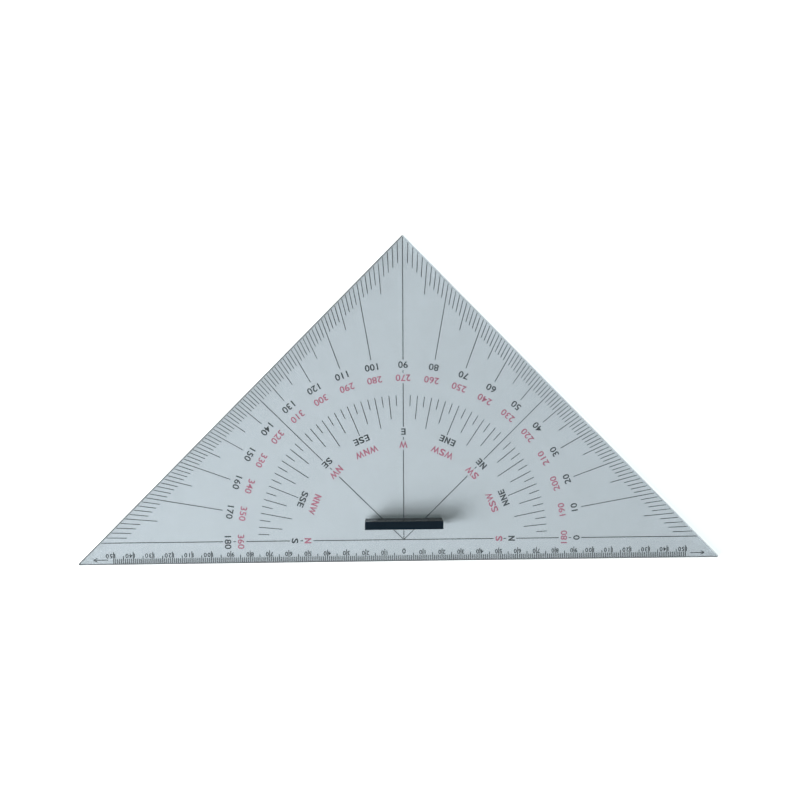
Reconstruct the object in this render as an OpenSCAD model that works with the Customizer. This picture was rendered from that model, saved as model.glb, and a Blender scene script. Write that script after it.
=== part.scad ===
// Navigation triangle: a clear 45-45-90 set square with a protractor, compass points and a
// millimetre scale printed on its underside, and a black bar handle that plugs into two holes.
// Millimetres, +Z up. The origin is the middle of the long edge, on the face that lies on the
// chart. X runs along the long edge and Y points to the right-angled corner.

/* [Plate] */
// Length of the long edge, between the two sharp corners before they are rounded
long_edge = 336.2; // [280:0.1:450]
// Thickness of the clear sheet
plate_t = 2.5; // [1.5:0.1:4]
// Radius that the three corners are rounded to
corner_r = 0.6; // [0.3:0.1:1]
// Depth of the recess that keeps the print off the chart
recess_d = 0.06; // [0.05:0.01:0.1]
// Width of the land left along the long edge
long_land = 0.1; // [0.05:0.01:0.12]
// Width of the land left along the two legs
leg_land = 0.4; // [0.2:0.05:0.5]

/* [Handle] */
// Length of the bar
handle_l = 40; // [30:1:60]
// Width of the bar
handle_w = 4.2; // [4:0.1:6]
// Height of the bar above the plate
handle_h = 10; // [6:0.5:14]
// Radius of the bar's long and short edges
handle_edge_r = 0.3; // [0.2:0.1:0.8]
// Distance from the protractor centre to the near side of the bar
handle_offset = 7.5; // [6:0.1:9]
// Diameter of the two pegs under the bar
peg_d = 2.8; // [2:0.1:3]
// Distance between the two pegs
peg_spacing = 28; // [24:1:32]
// Radial clearance between a peg and its hole
peg_clearance = 0.05; // [0.02:0.01:0.1]
// Distance from a peg's end up to the chart
peg_short = 0.3; // [0.2:0.1:0.5]
// Height of the cone on a peg's end
peg_lead = 0.4; // [0.2:0.1:0.6]

/* [Print] */
// Thickness of the ink
ink_t = 0.05; // [0.03:0.01:0.05]
// Distance from the long edge to the protractor centre
centre_y = 11.1; // [10:0.1:15]
// Distance from a leg to the outer ends of the protractor's lines
leg_margin = 0.65; // [0.6:0.05:1]
// Width of the base line, the upright line and the two diagonals
axis_w = 0.36; // [0.2:0.01:0.4]
// Width of the protractor's lines
degree_w = 0.33; // [0.15:0.01:0.35]
// Width of the compass ring's lines
compass_w = 0.34; // [0.15:0.01:0.4]
// Width of the millimetre scale's lines
scale_w = 0.38; // [0.15:0.01:0.4]

/* [Protractor] */
// Reach of the one degree lines in from their outer ends, square to the leg
one_degree_l = 7.5; // [5:0.1:9]
// Reach of the five degree lines in from their outer ends, square to the leg
five_degree_l = 12.6; // [10:0.1:13]
// Reach of the ten degree lines in from their outer ends, on a ray square to the leg
ten_degree_l = 15.2; // [13:0.1:17]
// Height of the degree numbers
number_h = 3.4; // [3:0.1:3.8]
// Space between the ten degree lines and the outer degree numbers
number_gap = 2.3; // [1.5:0.1:3]
// Space between the two rings of degree numbers
number_row_gap = 3.3; // [2.8:0.1:4]

/* [Compass] */
// Space between the inner degree numbers and the compass ring
ring_gap = 7.2; // [6:0.1:9]
// Length of the quarter point lines
quarter_point_l = 5.5; // [4:0.1:7]
// Length of the half point lines
half_point_l = 12.1; // [10:0.1:14]
// Length of the full point lines
full_point_l = 16.3; // [15:0.1:17]
// Height of the compass letters
letter_h = 3.4; // [3:0.1:3.8]
// Space between the full point lines and the outer compass letters
letter_gap = 1; // [0.6:0.1:1.2]
// Space between the two rings of compass letters
letter_row_gap = 3.3; // [2.8:0.1:4]
// Space left between a line and the letters or numbers that it runs through
label_gap = 0.95; // [0.8:0.05:1.2]

/* [Scale] */
// Distance between neighbouring lines of the scale
scale_step = 1; // [0.9:0.05:1]
// Least distance from the scale's last line to the tip of the plate
scale_end = 18; // [17.8:0.1:24]
// Distance from the tip of the plate to the recess
tip_land = 7.4; // [6:0.1:8]
// Distance from the long edge to the scale's lines
scale_margin = 0.15; // [0.14:0.01:0.3]
// Length of the one millimetre lines
one_mm_l = 2.65; // [2:0.05:3.2]
// Length of the five millimetre lines
five_mm_l = 4; // [3.5:0.1:4.5]
// Length of the ten millimetre lines
ten_mm_l = 6.1; // [5:0.1:6.8]
// Distance from the long edge to the arrows' shafts
arrow_y = 2.2; // [1.5:0.1:3]
// Distance from the end of the scale to the blunt end of each arrow
arrow_gap = 2.8; // [2:0.1:4]
// Length of each arrow
arrow_l = 7.4; // [5:0.1:7.5]
// Length of an arrow's two barbs
barb_l = 2.2; // [1:0.1:2.6]

/* [Hidden] */
$fn = 48;
half_edge = long_edge / 2;
cut = 1;
turn = 180;
point_angle = turn / 16;
barb_angle = 28;
ink_base = recess_d - ink_t;
handle_y = centre_y + handle_offset + handle_w / 2;
// On the legs and on lines parallel to them, |x| + y is constant, from the protractor centre.
leg_sum = half_edge - centre_y;
outer_sum = leg_sum - leg_margin * sqrt(2);
one_degree_sum = outer_sum - one_degree_l * sqrt(2);
five_degree_sum = outer_sum - five_degree_l * sqrt(2);
// Every tenth line has a number, and the last line is one of them.
numbered_steps = 10;
numbered_count = floor((half_edge - scale_end) / (numbered_steps * scale_step));
last_step = numbered_count * numbered_steps;
arrow_start = last_step * scale_step + arrow_gap;
// The rings, from the leg inwards, each by the radius of its middle or of its lines' outer ends
ten_degree_r = outer_sum / sqrt(2) - ten_degree_l;
outer_number_r = ten_degree_r - number_gap - number_h / 2;
inner_number_r = outer_number_r - number_h - number_row_gap;
compass_r = inner_number_r - number_h / 2 - ring_gap;
outer_letter_r = compass_r - full_point_l - letter_gap - letter_h / 2;
inner_letter_r = outer_letter_r - letter_h - letter_row_gap;
// The stretches of a line through the compass letters, as pairs of radii
letter_room = letter_h / 2 + label_gap;
letter_stretches = [
    [0, inner_letter_r - letter_room],
    [inner_letter_r + letter_room, outer_letter_r - letter_room]
];
past_letters = outer_letter_r + letter_room;
// The stretches of a line that also runs through the degree numbers
number_room = number_h / 2 + label_gap;
number_stretches = [
    [past_letters, inner_number_r - number_room],
    [inner_number_r + number_room, outer_number_r - number_room]
];
past_numbers = outer_number_r + number_room;

// Radius at which a ray from the protractor centre meets a line parallel to its leg
function leg_radius(angle, sum) = sum / (abs(cos(angle)) + sin(angle));

// Outline of the plate with its corners rounded
module plate_outline() {
    tip_in = corner_r / tan(22.5);
    tip_side = tip_in / sqrt(2);
    apex_side = corner_r / sqrt(2);
    polygon([
        [-half_edge + tip_in, 0], [half_edge - tip_in, 0],
        [half_edge - tip_side, tip_side], [apex_side, half_edge - apex_side],
        [-apex_side, half_edge - apex_side], [-half_edge + tip_side, tip_side]
    ]);
    for (side = [-1, 1]) translate([side * (half_edge - tip_in), corner_r]) circle(corner_r);
    translate([0, half_edge - corner_r * sqrt(2)]) circle(corner_r);
}

// Area of the underside that the print lies in, clear of the lands and the tips
module recess_outline() {
    recess_half = half_edge - leg_land * sqrt(2);
    reach = half_edge - tip_land;
    intersection() {
        polygon([
            [-recess_half + long_land, long_land], [recess_half - long_land, long_land],
            [0, recess_half]
        ]);
        translate([-reach, 0]) square([2 * reach, half_edge]);
    }
}

module peg_places() {
    for (side = [-1, 1]) translate([side * peg_spacing / 2, handle_y, 0]) children();
}

module plate() color([0.72, 0.77, 0.81, 0.5]) difference() {
    linear_extrude(plate_t) plate_outline();
    translate([0, 0, -cut]) linear_extrude(recess_d + cut) recess_outline();
    peg_places() translate([0, 0, -cut]) cylinder(d = peg_d + 2 * peg_clearance, h = plate_t + 2 * cut);
}

// Rectangle with rounded corners, centred on the origin
module rounded_rectangle(width, height, r) {
    square([width - 2 * r, height], center = true);
    square([width, height - 2 * r], center = true);
    for (x = [-1, 1], y = [-1, 1]) translate([x * (width / 2 - r), y * (height / 2 - r)]) circle(r);
}

// Bar whose ends, top and sides meet in rounded edges and whose base is square
module handle_bar() intersection() {
    translate([0, 0, -handle_h]) linear_extrude(2 * handle_h)
        rounded_rectangle(handle_l, handle_w, handle_edge_r);
    rotate([90, 0, 0]) linear_extrude(handle_w + cut, center = true)
        rounded_rectangle(handle_l, 2 * handle_h, handle_edge_r);
    rotate([90, 0, 90]) linear_extrude(handle_l + cut, center = true)
        rounded_rectangle(handle_w, 2 * handle_h, handle_edge_r);
    translate([-handle_l, -handle_w, 0]) cube([2 * handle_l, 2 * handle_w, 2 * handle_h]);
}

module handle() color([0.08, 0.1, 0.14]) {
    translate([0, handle_y, plate_t]) handle_bar();
    peg_places() {
        translate([0, 0, peg_short + peg_lead]) cylinder(d = peg_d, h = plate_t + cut - peg_short - peg_lead);
        translate([0, 0, peg_short]) cylinder(d1 = peg_d - peg_lead, d2 = peg_d, h = peg_lead);
    }
}

// Ink line along +X, from one distance to another
module ink_line(from, to, width) {
    translate([from, -width / 2, ink_base]) cube([to - from, width, ink_t]);
}

// Ink line along a ray from the protractor centre
module ray_line(angle, from, to, width) {
    translate([0, centre_y, 0]) rotate(angle) ink_line(from, to, width);
}

module ink() color([0.16, 0.18, 0.21]) children();

// Base line, upright line and diagonals, broken where they run through the labels
module axis_lines() ink() {
    for (angle = [0, 45, 90, 135, turn]) {
        numbered = angle % 90 == 0;
        stretches = numbered ? concat(letter_stretches, number_stretches) : letter_stretches;
        for (ends = stretches) ray_line(angle, ends[0], ends[1], axis_w);
        ray_line(angle, numbered ? past_numbers : past_letters, leg_radius(angle, outer_sum), axis_w);
    }
}

module one_degree_lines() ink() for (angle = [1:turn - 1]) if (angle % 5 != 0)
    ray_line(angle, leg_radius(angle, one_degree_sum), leg_radius(angle, outer_sum), degree_w);

module five_degree_lines() ink() for (angle = [5:10:turn]) if (angle % 45 != 0)
    ray_line(angle, leg_radius(angle, five_degree_sum), leg_radius(angle, outer_sum), degree_w);

module ten_degree_lines() ink() for (angle = [10:10:turn - 1]) if (angle % 90 != 0)
    ray_line(angle, ten_degree_r, leg_radius(angle, outer_sum), degree_w);

// Lines of the compass ring at every step of so many quarter points, from the first one
module compass_lines(first, step, length) ink() for (quarter = [first:step:63]) if (quarter % 16 != 0)
    ray_line(quarter * point_angle / 4, compass_r - length, compass_r, compass_w);

module quarter_point_lines() compass_lines(1, 2, quarter_point_l);

module half_point_lines() compass_lines(2, 4, half_point_l);

module full_point_lines() compass_lines(4, 4, full_point_l);

// Line of the millimetre scale, so many steps from the middle
module scale_line(steps, length) {
    translate([steps * scale_step - scale_w / 2, scale_margin, ink_base]) cube([scale_w, length, ink_t]);
}

// The line at zero is short, because the number stands above it.
module one_mm_lines() ink() for (steps = [-last_step:last_step])
    if (steps % 5 != 0 || steps == 0) scale_line(steps, one_mm_l);

module five_mm_lines() ink() for (steps = [5 - last_step:numbered_steps:last_step])
    scale_line(steps, five_mm_l);

module ten_mm_lines() ink() for (count = [1:numbered_count], side = [-1, 1])
    scale_line(side * count * numbered_steps, ten_mm_l);

module scale_arrows() ink() for (side = [0, 1]) mirror([side, 0, 0]) translate([arrow_start, arrow_y, 0]) {
    ink_line(0, arrow_l, axis_w);
    for (barb = [-1, 1]) translate([arrow_l, 0, 0]) rotate(turn + barb * barb_angle)
        ink_line(0, barb_l, axis_w);
}

plate();
handle();
axis_lines();
one_degree_lines();
five_degree_lines();
ten_degree_lines();
quarter_point_lines();
half_point_lines();
full_point_lines();
one_mm_lines();
five_mm_lines();
ten_mm_lines();
scale_arrows();
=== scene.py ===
"""Dresses the navigation triangle: its materials, printed numbers and letters, light and camera."""
import math

import bmesh
import bpy
from mathutils import Matrix, Vector


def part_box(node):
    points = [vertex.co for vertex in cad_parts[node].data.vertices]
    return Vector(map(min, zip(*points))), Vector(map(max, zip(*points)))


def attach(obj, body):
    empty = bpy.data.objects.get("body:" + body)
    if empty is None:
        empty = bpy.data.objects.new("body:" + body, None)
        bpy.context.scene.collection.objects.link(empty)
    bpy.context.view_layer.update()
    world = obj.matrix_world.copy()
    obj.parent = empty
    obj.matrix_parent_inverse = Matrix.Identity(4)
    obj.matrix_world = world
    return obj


MM = 0.001

# Camera, fitted to the plate's own scales in the photograph
IMAGE_PX = 800
FOCAL_PX = 800
SENSOR_MM = 36
CAMERA_PLACE = Vector((-7.9, 97.2, 414.8)) * MM
CAMERA_AIM = Vector((10.4, 64.7, 0.8)) * MM
CAMERA_ROLL = math.radians(-0.175)
CAMERA_NEAREST = 10 * MM
# Where the camera's axis meets the image, right of its middle and below it
AXIS_RIGHT_PX = 23.4
AXIS_BELOW_PX = 37.5

# Sheet of the plate, and the lamp's light that passes through it
SHEET_COLOUR = (0.314, 0.338, 0.356, 1)
SHEET_IOR = 1.49
PASSED_COLOUR = (0.91, 0.93, 0.94, 1)
# Rub marks on the sheet: the part of their noise that counts, and the roughness that it gives
MARK_SCALE = 900.0
MARK_DETAIL = 3.0
MARK_NOISE = (0.3, 0.8)
MARK_ROUGHNESS = (0.01, 0.05)

# Sawn edges of the plate
SAWN_SCALE = 2500.0
SAWN_DARK = (0.30, 0.33, 0.34, 1)
SAWN_PALE = (0.50, 0.54, 0.55, 1)
SAWN_ROUGHNESS = 0.45
# A face of the plate lies flat where its normal rises more than this
FLAT_FROM = 0.5

# Rim of the plate, a band in its top that stands for the cut edge seen through it, with the edge's
# light and shade painted in: painted light on the right leg, painted shade elsewhere
HALF_EDGE = 168.1 * MM
RIM_W = 0.6 * MM
RIM_SHARE = 0.55
RIM_PAINTED_SHADE = (0.07, 0.075, 0.075, 1)
RIM_PAINTED_LIGHT = (0.50, 0.54, 0.55, 1)
# Depth from which the rim fades out, and how much narrower it is along the long edge
RIM_FADE = RIM_W / 2
RIM_LOSS = RIM_W / 4

# Handle
HANDLE_SCALE = 160.0
HANDLE_DETAIL = 4.0
HANDLE_DARK = (0.001, 0.005, 0.010, 1)
HANDLE_PALE = (0.003, 0.009, 0.015, 1)
HANDLE_ROUGHNESS = 0.1
HANDLE_IOR = 1.2
# Colour of the light that the handle mirrors
HANDLE_MIRRORED = (0.85, 0.97, 1.0, 1)
# Moulded grain of the handle
GRAIN_SCALE = 3000.0
GRAIN_STRENGTH = 0.04
GRAIN_DEPTH = 0.1 * MM

# Ink, where it lies dense and where it lies thin
INK_SCALE = 1200.0
BLACK_DENSE = (0.008, 0.014, 0.018, 1)
BLACK_THIN = (0.020, 0.030, 0.038, 1)
RED_DENSE = (0.33, 0.08, 0.13, 1)
RED_THIN = (0.40, 0.105, 0.17, 1)
INK_ROUGHNESS = 0.55
INK_IOR = 1.45

# Detail of every noise that has none of its own
FINE_DETAIL = 2.0

# Degree numbers, on two rings round the protractor centre
CENTRE_Y = 11.1 * MM
HALF_TURN = 180
NUMBER_H = 3.4 * MM
OUTER_NUMBER_R = 91.2 * MM
INNER_NUMBER_R = 84.5 * MM
OUTER_NUMBER_WEIGHT = 0.012
INNER_NUMBER_WEIGHT = 0.009
# How much wider their figures are than the font's own
FIGURE_STRETCH = 1.1
# Degrees between two numbers of a ring, and millimetres between two numbers of the scale
NUMBER_STEP = 10

# Compass letters, on two rings further in
COMPASS_POINTS = (
    "N", "NNE", "NE", "ENE", "E", "ESE", "SE", "SSE",
    "S", "SSW", "SW", "WSW", "W", "WNW", "NW", "NNW",
)
COMPASS_STEP = 22.5
OUTER_LETTER_H = 3.4 * MM
INNER_LETTER_H = 3.6 * MM
OUTER_LETTER_R = 56.6 * MM
INNER_LETTER_R = 49.9 * MM
OUTER_LETTER_WEIGHT = 0.023
INNER_LETTER_WEIGHT = 0.02
# Degrees by which the printed letters stand off their own lines
MISPRINT = {"NE": -0.7, "ENE": -1.3, "SE": -0.8}

# Room that a character takes along its line, and a letter's own width, both as shares of its height
ROOM = {"N": 0.93, "E": 0.87, "S": 0.87, "W": 1.24}
FIGURE_ROOM = 0.78
WIDTH = {"N": 0.75, "E": 0.69, "S": 0.77, "W": 1.18}
# Weight of a letter against the rest, which evens out its strokes once it has its own width
WEIGHT = {"N": 1.7, "E": 0.8}

# Numbers of the millimetre scale
SCALE_END = 150
FIGURE_H = 2.3 * MM
FIGURE_Y = 4.2 * MM
FIGURE_WEIGHT = 0.014
# The zero stands higher than the other numbers and is this much larger
ZERO_Y = 4.9 * MM
ZERO_GROWTH = 1.2
# Where each figure of a number stands along it, from the line that it numbers
FIGURE_PLACES = {1: (0.0,), 2: (-1.1 * MM, 1.2 * MM), 3: (-0.6 * MM, 1.2 * MM, 3.15 * MM)}

# How far letters and numbers reach into the plate, so that no face of the plate lies in theirs
PRINT_RISE = 0.003 * MM
# Steps in each curve of a character, and the distance within which its points become one
CURVE_STEPS = 4
MERGE_WITHIN = 1e-7

# Lamp
LAMP_PLACE = Vector((-1.39, -0.53, 1.0))
LAMP_AIM = Vector((0.0, 0.02, 0.0))
LAMP_SIZE = 1.09
LAMP_POWER = 76.0

# Light from all round
WHITE = (1, 1, 1, 1)
AMBIENT = 0.13
AMBIENT_COLOUR = (0.95, 0.98, 1.0, 1)

# Floor, and the glow that makes it show as white
FLOOR_HALF = 3.0
FLOOR_DROP = 0.02 * MM
FLOOR_COLOUR = (0.78, 0.78, 0.78, 1)
GLOW = 0.22
GLOW_COLOUR = (0.8, 1.0, 0.96, 1)
# How far from the middle of the long edge the floor starts to turn plain white, and has done so
PLAIN_FROM = 0.19
PLAIN_TO = 0.5

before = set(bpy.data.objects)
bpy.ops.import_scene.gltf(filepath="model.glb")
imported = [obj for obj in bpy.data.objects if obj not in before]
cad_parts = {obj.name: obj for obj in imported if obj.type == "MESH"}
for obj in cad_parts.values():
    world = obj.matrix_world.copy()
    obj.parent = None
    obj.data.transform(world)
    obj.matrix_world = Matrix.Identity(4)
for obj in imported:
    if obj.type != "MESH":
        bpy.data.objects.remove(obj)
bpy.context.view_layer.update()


def add_object(name, data):
    """A new object of the scene, which holds the data."""
    item = bpy.data.objects.new(name, data)
    bpy.context.scene.collection.objects.link(item)
    return item


def camera_axes():
    """The camera's right, up and forward directions."""
    forward = (CAMERA_AIM - CAMERA_PLACE).normalized()
    right = forward.cross(Vector((0, 1, 0))).normalized()
    up = right.cross(forward)
    cos, sin = math.cos(CAMERA_ROLL), math.sin(CAMERA_ROLL)
    return right * cos + up * sin, up * cos - right * sin, forward


def add_camera():
    data = bpy.data.cameras.new("camera")
    data.sensor_width = SENSOR_MM
    data.lens = SENSOR_MM * FOCAL_PX / IMAGE_PX
    data.shift_x = -AXIS_RIGHT_PX / IMAGE_PX
    data.shift_y = AXIS_BELOW_PX / IMAGE_PX
    data.clip_start = CAMERA_NEAREST
    right, up, forward = camera_axes()
    turn = Matrix((right, up, -forward)).transposed().to_4x4()
    camera = add_object("camera", data)
    camera.matrix_world = Matrix.Translation(CAMERA_PLACE) @ turn
    bpy.context.scene.camera = camera


class Shader:
    """The nodes of a material or of the world, under construction."""

    def __init__(self, owner, output):
        owner.use_nodes = True
        self.owner = owner
        self.nodes = owner.node_tree.nodes
        self.links = owner.node_tree.links
        self.nodes.clear()
        self.output = self.add(output)

    def feed(self, value, socket):
        """Links the output of another node to an input, or sets the input to a plain value."""
        if isinstance(value, bpy.types.NodeSocket):
            self.links.new(value, socket)
        else:
            socket.default_value = value

    def add(self, kind, **settings):
        """Adds a node. A setting is an input's name with _ for a space, or an attribute of the node."""
        node = self.nodes.new("ShaderNode" + kind)
        for name, value in settings.items():
            if hasattr(node, name):
                setattr(node, name, value)
            else:
                self.feed(value, node.inputs[name.replace("_", " ")])
        return node

    def join(self, node, *values):
        """Feeds a node's inputs in their order, and gives its first output."""
        for value, socket in zip(values, node.inputs):
            self.feed(value, socket)
        return node.outputs[0]

    def math(self, operation, first, second=0.0):
        return self.join(self.add("Math", operation=operation), first, second)

    def mix(self, share, first, second):
        """The first surface where share is 0, and the second where it is 1."""
        return self.join(self.add("MixShader"), share, first, second)

    def sum(self, first, second):
        return self.join(self.add("AddShader"), first, second)

    def ramp(self, share, first, second):
        """The first colour where share is 0, and the second where it is 1."""
        node = self.add("ValToRGB", Fac=share)
        node.color_ramp.elements[0].color = first
        node.color_ramp.elements[1].color = second
        return node.outputs["Color"]

    def map_range(self, value, old, new):
        """The value, moved from its place in the old range to the same place in the new one."""
        node = self.add("MapRange", Value=value, From_Min=old[0], From_Max=old[1])
        self.feed(new[0], node.inputs["To Min"])
        self.feed(new[1], node.inputs["To Max"])
        return node.outputs["Result"]

    def noise(self, place, scale, detail=FINE_DETAIL):
        return self.add("TexNoise", Vector=place, Scale=scale, Detail=detail).outputs["Fac"]

    def place(self):
        return self.add("TexCoord").outputs["Object"]

    def finish(self, surface):
        self.feed(surface, self.output.inputs["Surface"])
        return self.owner


def material_shader(name):
    return Shader(bpy.data.materials.new(name), "OutputMaterial")


def seen_directly(shader):
    """1 for camera, glossy and transmission rays, and 0 for the rest."""
    path = shader.add("LightPath")
    mirrored = shader.math("MAXIMUM", path.outputs["Is Camera Ray"], path.outputs["Is Glossy Ray"])
    return shader.math("MAXIMUM", mirrored, path.outputs["Is Transmission Ray"])


def rim(shader, place):
    """How much of the plate's rim shows at a point, and the cut edge's light and shade painted there as
    a colour: pale on the right leg, dark elsewhere.
    """
    point = shader.add("SeparateXYZ", Vector=place)
    x, y = point.outputs["X"], point.outputs["Y"]
    reach = shader.math("ADD", shader.math("ABSOLUTE", x), y)
    leg_depth = shader.math("DIVIDE", shader.math("SUBTRACT", HALF_EDGE, reach), math.sqrt(2))
    long_depth = shader.math("ADD", y, RIM_LOSS)
    by_leg = shader.math("LESS_THAN", leg_depth, long_depth)
    depth = shader.math("MINIMUM", leg_depth, long_depth)
    share = shader.map_range(depth, (RIM_FADE, RIM_W), (RIM_SHARE, 0.0))
    on_right = shader.math("MULTIPLY", by_leg, shader.math("GREATER_THAN", x, 0.0))
    # Painted light on the right leg and painted shade elsewhere, as the lamp from the left would light
    # the inside of the cut edge
    glow = shader.add("BsdfDiffuse", Color=shader.ramp(on_right, RIM_PAINTED_SHADE, RIM_PAINTED_LIGHT))
    return share, glow.outputs[0]


def clear_plastic():
    """Clear sheet with a blue-grey cast, faint rub marks, satin sawn edges and its rim, with the rim's
    light and shade painted in.
    """
    shader = material_shader("clear_plastic")
    place = shader.place()
    marks = shader.noise(place, MARK_SCALE, MARK_DETAIL)
    sheet = shader.add(
        "BsdfPrincipled",
        Base_Color=SHEET_COLOUR,
        Roughness=shader.map_range(marks, MARK_NOISE, MARK_ROUGHNESS),
        IOR=SHEET_IOR,
        Transmission_Weight=1.0,
    )
    sawn = shader.add(
        "BsdfPrincipled",
        Base_Color=shader.ramp(shader.noise(place, SAWN_SCALE), SAWN_DARK, SAWN_PALE),
        Roughness=SAWN_ROUGHNESS,
        IOR=SHEET_IOR,
    )
    normal = shader.add("SeparateXYZ", Vector=shader.add("NewGeometry").outputs["True Normal"])
    rise = normal.outputs["Z"]
    flat = shader.math("GREATER_THAN", shader.math("ABSOLUTE", rise), FLAT_FROM)
    on_top = shader.math("GREATER_THAN", rise, FLAT_FROM)
    rim_share, painted_rim_shading = rim(shader, place)
    rim_on_top = shader.math("MULTIPLY", rim_share, on_top)
    # Painted light and shade of the rim, mixed into the top face
    face = shader.mix(rim_on_top, sheet.outputs[0], painted_rim_shading)
    solid = shader.mix(flat, sawn.outputs[0], face)
    passed = shader.add("BsdfTransparent", Color=PASSED_COLOUR)
    path = shader.add("LightPath")
    return shader.finish(shader.mix(path.outputs["Is Shadow Ray"], solid, passed.outputs[0]))


def black_plastic():
    """Glossy moulded blue-black plastic with a fine moulded texture."""
    shader = material_shader("black_plastic")
    place = shader.place()
    tone = shader.noise(place, HANDLE_SCALE, HANDLE_DETAIL)
    grain = shader.noise(place, GRAIN_SCALE)
    bump = shader.add("Bump", Strength=GRAIN_STRENGTH, Distance=GRAIN_DEPTH, Height=grain)
    body = shader.add(
        "BsdfPrincipled",
        Base_Color=shader.ramp(tone, HANDLE_DARK, HANDLE_PALE),
        Roughness=HANDLE_ROUGHNESS,
        IOR=HANDLE_IOR,
        Specular_Tint=HANDLE_MIRRORED,
        Normal=bump.outputs["Normal"],
    )
    return shader.finish(body.outputs[0])


def ink(name, dense, thin):
    """Matt printing ink whose density varies a little along the line."""
    shader = material_shader(name)
    tone = shader.noise(shader.place(), INK_SCALE)
    body = shader.add(
        "BsdfPrincipled",
        Base_Color=shader.ramp(tone, dense, thin),
        Roughness=INK_ROUGHNESS,
        IOR=INK_IOR,
    )
    return shader.finish(body.outputs[0])


def pale_floor():
    """White floor that takes shadows and shows as white."""
    shader = material_shader("pale_floor")
    tone = shader.add("BsdfDiffuse", Color=FLOOR_COLOUR)
    direct = seen_directly(shader)
    glow = shader.add("Emission", Color=GLOW_COLOUR, Strength=shader.math("MULTIPLY", direct, GLOW))
    far = shader.add("VectorMath", operation="LENGTH", Vector=shader.place())
    plain = shader.map_range(far.outputs["Value"], (PLAIN_FROM, PLAIN_TO), (0.0, 1.0))
    white = shader.add("Emission", Color=WHITE, Strength=shader.math("MULTIPLY", direct, plain))
    lit = shader.sum(tone.outputs[0], glow.outputs[0])
    return shader.finish(shader.sum(lit, white.outputs[0]))


def add_floor():
    mesh = bpy.data.meshes.new("floor")
    sides = ((-1, -1), (1, -1), (1, 1), (-1, 1))
    places = [(x * FLOOR_HALF, y * FLOOR_HALF, -FLOOR_DROP) for x, y in sides]
    mesh.from_pydata(places, [], [(0, 1, 2, 3)])
    mesh.materials.append(pale_floor())
    floor = add_object("floor", mesh)


def add_lamp():
    data = bpy.data.lights.new("window", "AREA")
    data.shape = "SQUARE"
    data.size = LAMP_SIZE
    data.energy = LAMP_POWER
    lamp = add_object("window", data)
    lamp.location = LAMP_PLACE
    lamp.rotation_euler = (LAMP_AIM - LAMP_PLACE).to_track_quat("-Z", "Y").to_euler()


def add_world():
    """Soft light from all round, which shows as plain white."""
    shader = Shader(bpy.data.worlds.new("studio"), "OutputWorld")
    ambient = shader.add("Background", Color=AMBIENT_COLOUR, Strength=AMBIENT)
    white = shader.add("Background", Color=WHITE, Strength=1.0)
    seen = shader.mix(seen_directly(shader), ambient.outputs[0], white.outputs[0])
    bpy.context.scene.world = shader.finish(seen)


class Lettering:
    """Printed text in one ink, gathered into one mesh that lies where the plate's lines lie."""

    def __init__(self, name, height, weight, figure_stretch=1.0):
        self.name = name
        self.height = height
        self.weight = weight
        self.figure_stretch = figure_stretch
        low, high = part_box("axis_lines")
        top = high[2] + PRINT_RISE
        self.z = (low[2] + top) / 2
        self.half_t = (top - low[2]) / 2
        self.mesh = bmesh.new()
        zero = self.character_mesh("0", 1.0, 0.0)
        heights = [vertex.co.y for vertex in zero.vertices]
        self.size = height / (max(heights) - min(heights))
        bpy.data.meshes.remove(zero)

    def character_mesh(self, character, size, half_t):
        curve = bpy.data.curves.new(self.name, "FONT")
        curve.body = character
        curve.size = size
        curve.offset = self.weight * WEIGHT.get(character, 1.0) * size
        curve.extrude = half_t
        curve.resolution_u = CURVE_STEPS
        holder = bpy.data.objects.new(self.name, curve)
        mesh = bpy.data.meshes.new_from_object(holder)
        bpy.data.objects.remove(holder)
        bpy.data.curves.remove(curve)
        return mesh

    def stretch(self, character, own_width):
        """How much wider the character is printed than the font has it."""
        if character in WIDTH:
            return WIDTH[character] * self.height / own_width
        return self.figure_stretch

    def write_character(self, character, along, place):
        """Adds a character whose middle is that far along its line, which place puts in the plate."""
        mesh = self.character_mesh(character, self.size, self.half_t)
        xs = [vertex.co.x for vertex in mesh.vertices]
        stretch = self.stretch(character, max(xs) - min(xs))
        middle = Vector(((max(xs) + min(xs)) / 2, self.height / 2, 0))
        stretched = Matrix.Diagonal((stretch, 1, 1, 1)) @ Matrix.Translation(-middle)
        mesh.transform(place @ Matrix.Translation((along, 0, 0)) @ stretched)
        self.mesh.from_mesh(mesh)
        bpy.data.meshes.remove(mesh)

    def write(self, text, x, y, angle):
        """Writes text with its middle at x, y, turned by angle."""
        place = Matrix.Translation((x, y, self.z)) @ Matrix.Rotation(angle, 4, "Z")
        rooms = [ROOM.get(character, FIGURE_ROOM) * self.height for character in text]
        start = -sum(rooms) / 2
        for character, room in zip(text, rooms):
            self.write_character(character, start + room / 2, place)
            start += room

    def write_round(self, text, degrees, radius):
        """Writes text on a ray from the protractor centre, with its top towards the centre."""
        ray = math.radians(degrees)
        x = radius * math.cos(ray)
        y = CENTRE_Y + radius * math.sin(ray)
        self.write(text, x, y, ray + math.pi / 2)

    def finish(self, material, slot):
        mesh = bpy.data.meshes.new(self.name)
        bmesh.ops.remove_doubles(self.mesh, verts=self.mesh.verts, dist=MERGE_WITHIN)
        self.mesh.to_mesh(mesh)
        self.mesh.free()
        mesh.materials.append(material)
        piece = add_object(self.name, mesh)
        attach(piece, "triangle")


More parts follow.
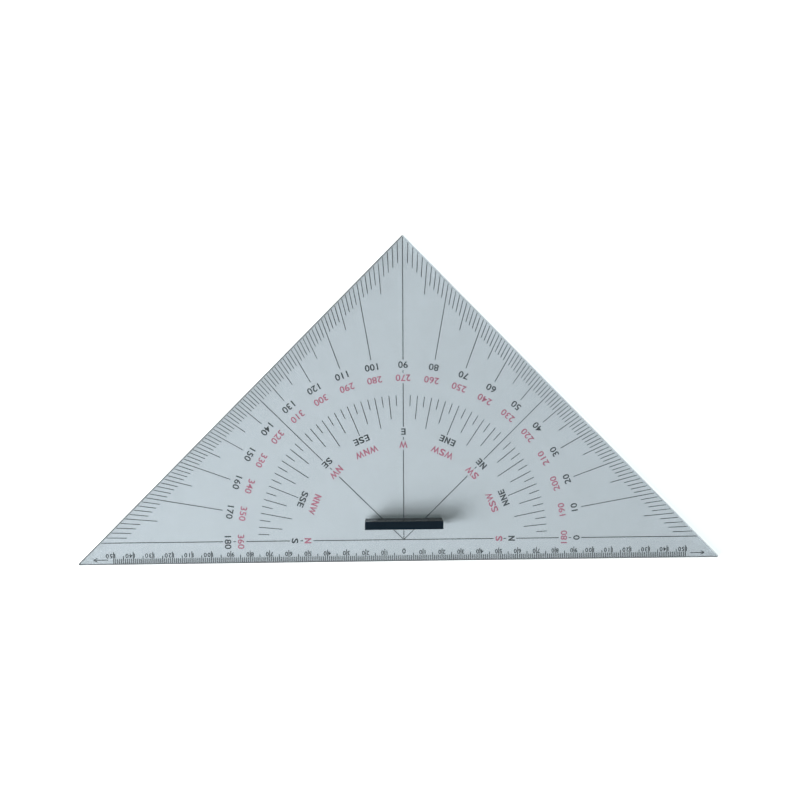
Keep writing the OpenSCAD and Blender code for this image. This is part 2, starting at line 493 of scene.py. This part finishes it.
def add_degree_numbers(black, red):
    outer = Lettering("outer_degree_numbers", NUMBER_H, OUTER_NUMBER_WEIGHT, FIGURE_STRETCH)
    inner = Lettering("inner_degree_numbers", NUMBER_H, INNER_NUMBER_WEIGHT, FIGURE_STRETCH)
    for degrees in range(0, HALF_TURN + 1, NUMBER_STEP):
        outer.write_round(str(degrees), degrees, OUTER_NUMBER_R)
        inner.write_round(str(degrees + HALF_TURN), degrees, INNER_NUMBER_R)
    outer.finish(black, "black_ink")
    inner.finish(red, "red_ink")


def add_compass_letters(black, red):
    outer = Lettering("outer_compass_letters", OUTER_LETTER_H, OUTER_LETTER_WEIGHT)
    inner = Lettering("inner_compass_letters", INNER_LETTER_H, INNER_LETTER_WEIGHT)
    half = len(COMPASS_POINTS) // 2
    for step in range(half + 1):
        point = COMPASS_POINTS[step]
        opposite = COMPASS_POINTS[(step + half) % len(COMPASS_POINTS)]
        degrees = step * COMPASS_STEP + MISPRINT.get(point, 0)
        outer.write_round(point, degrees, OUTER_LETTER_R)
        inner.write_round(opposite, degrees, INNER_LETTER_R)
    outer.finish(black, "black_ink")
    inner.finish(red, "red_ink")


def add_scale_numbers(black):
    figures = Lettering("scale_numbers", FIGURE_H, FIGURE_WEIGHT)
    upside_down = Matrix.Rotation(math.pi, 4, "Z")
    for reading in range(-SCALE_END, SCALE_END + 1, NUMBER_STEP):
        number = str(abs(reading))
        y, growth = (ZERO_Y, ZERO_GROWTH) if reading == 0 else (FIGURE_Y, 1)
        grown = Matrix.Diagonal((growth, growth, 1, 1))
        place = Matrix.Translation((reading * MM, y, figures.z)) @ upside_down @ grown
        for figure, along in zip(number, FIGURE_PLACES[len(number)]):
            figures.write_character(figure, along, place)
    figures.finish(black, "black_ink")


def paint(node, material):
    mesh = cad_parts[node].data
    mesh.materials.clear()
    mesh.materials.append(material)


add_camera()
add_floor()
add_lamp()
add_world()
black = ink("black_ink", BLACK_DENSE, BLACK_THIN)
red = ink("red_ink", RED_DENSE, RED_THIN)
paint("plate", clear_plastic())
paint("handle", black_plastic())
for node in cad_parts:
    if node not in ("plate", "handle"):
        paint(node, black)
add_degree_numbers(black, red)
add_compass_letters(black, red)
add_scale_numbers(black)

bpy.context.scene.view_settings.view_transform = "Standard"
